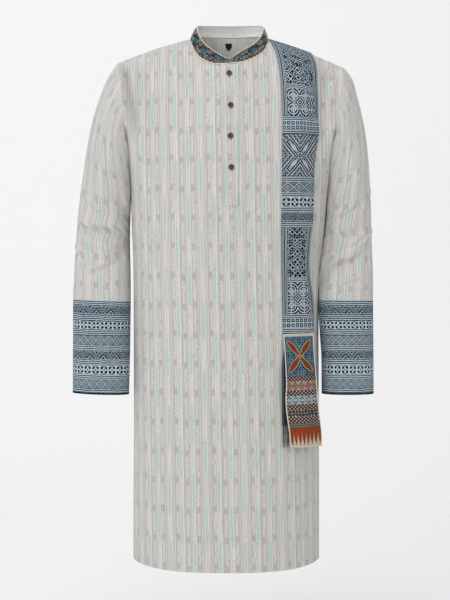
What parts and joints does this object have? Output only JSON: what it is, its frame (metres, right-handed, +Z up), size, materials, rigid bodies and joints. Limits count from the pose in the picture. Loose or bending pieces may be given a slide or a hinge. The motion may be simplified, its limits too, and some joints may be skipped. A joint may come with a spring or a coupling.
{
  "type": "kurta tunic",
  "caption": "Long straight tunic with a stand collar, short button placket, patterned cuff bands and a patterned drape hanging from one shoulder down the front.",
  "frame": {"origin": "midway between the two points where the shoulder seams meet the neck, where the wearer's shoulders hold the garment", "axes": "+Z up along the body, +X towards the wearer's left, the front faces -Y"},
  "size_m": [0.6169, 0.2579, 1.1135],
  "materials": {
    "cloth": "woven cloth",
    "indigo": "woven cloth",
    "deep": "woven cloth",
    "cream": "woven cloth",
    "collar": "woven cloth",
    "button": "matt",
    "rust": "woven cloth",
    "black": "woven cloth"
  },
  "bodies": {
    "root": {"front_main": "cloth", "front_side": "cloth", "back": "cloth", "sleeve_right": "cloth", "sleeve_left": "cloth", "cuff_right": "indigo", "cuff_left": "indigo", "collar": "collar", "collar_piping": "cream", "placket_over": "cloth", "placket_under": "cloth", "button_1": "button", "button_2": "button", "button_3": "button", "button_4": "button", "stole_front": "indigo", "stole_end": "rust", "stole_under": "deep", "stole_fringe": "deep", "neck_label": "black"}
  },
  "joints": []
}
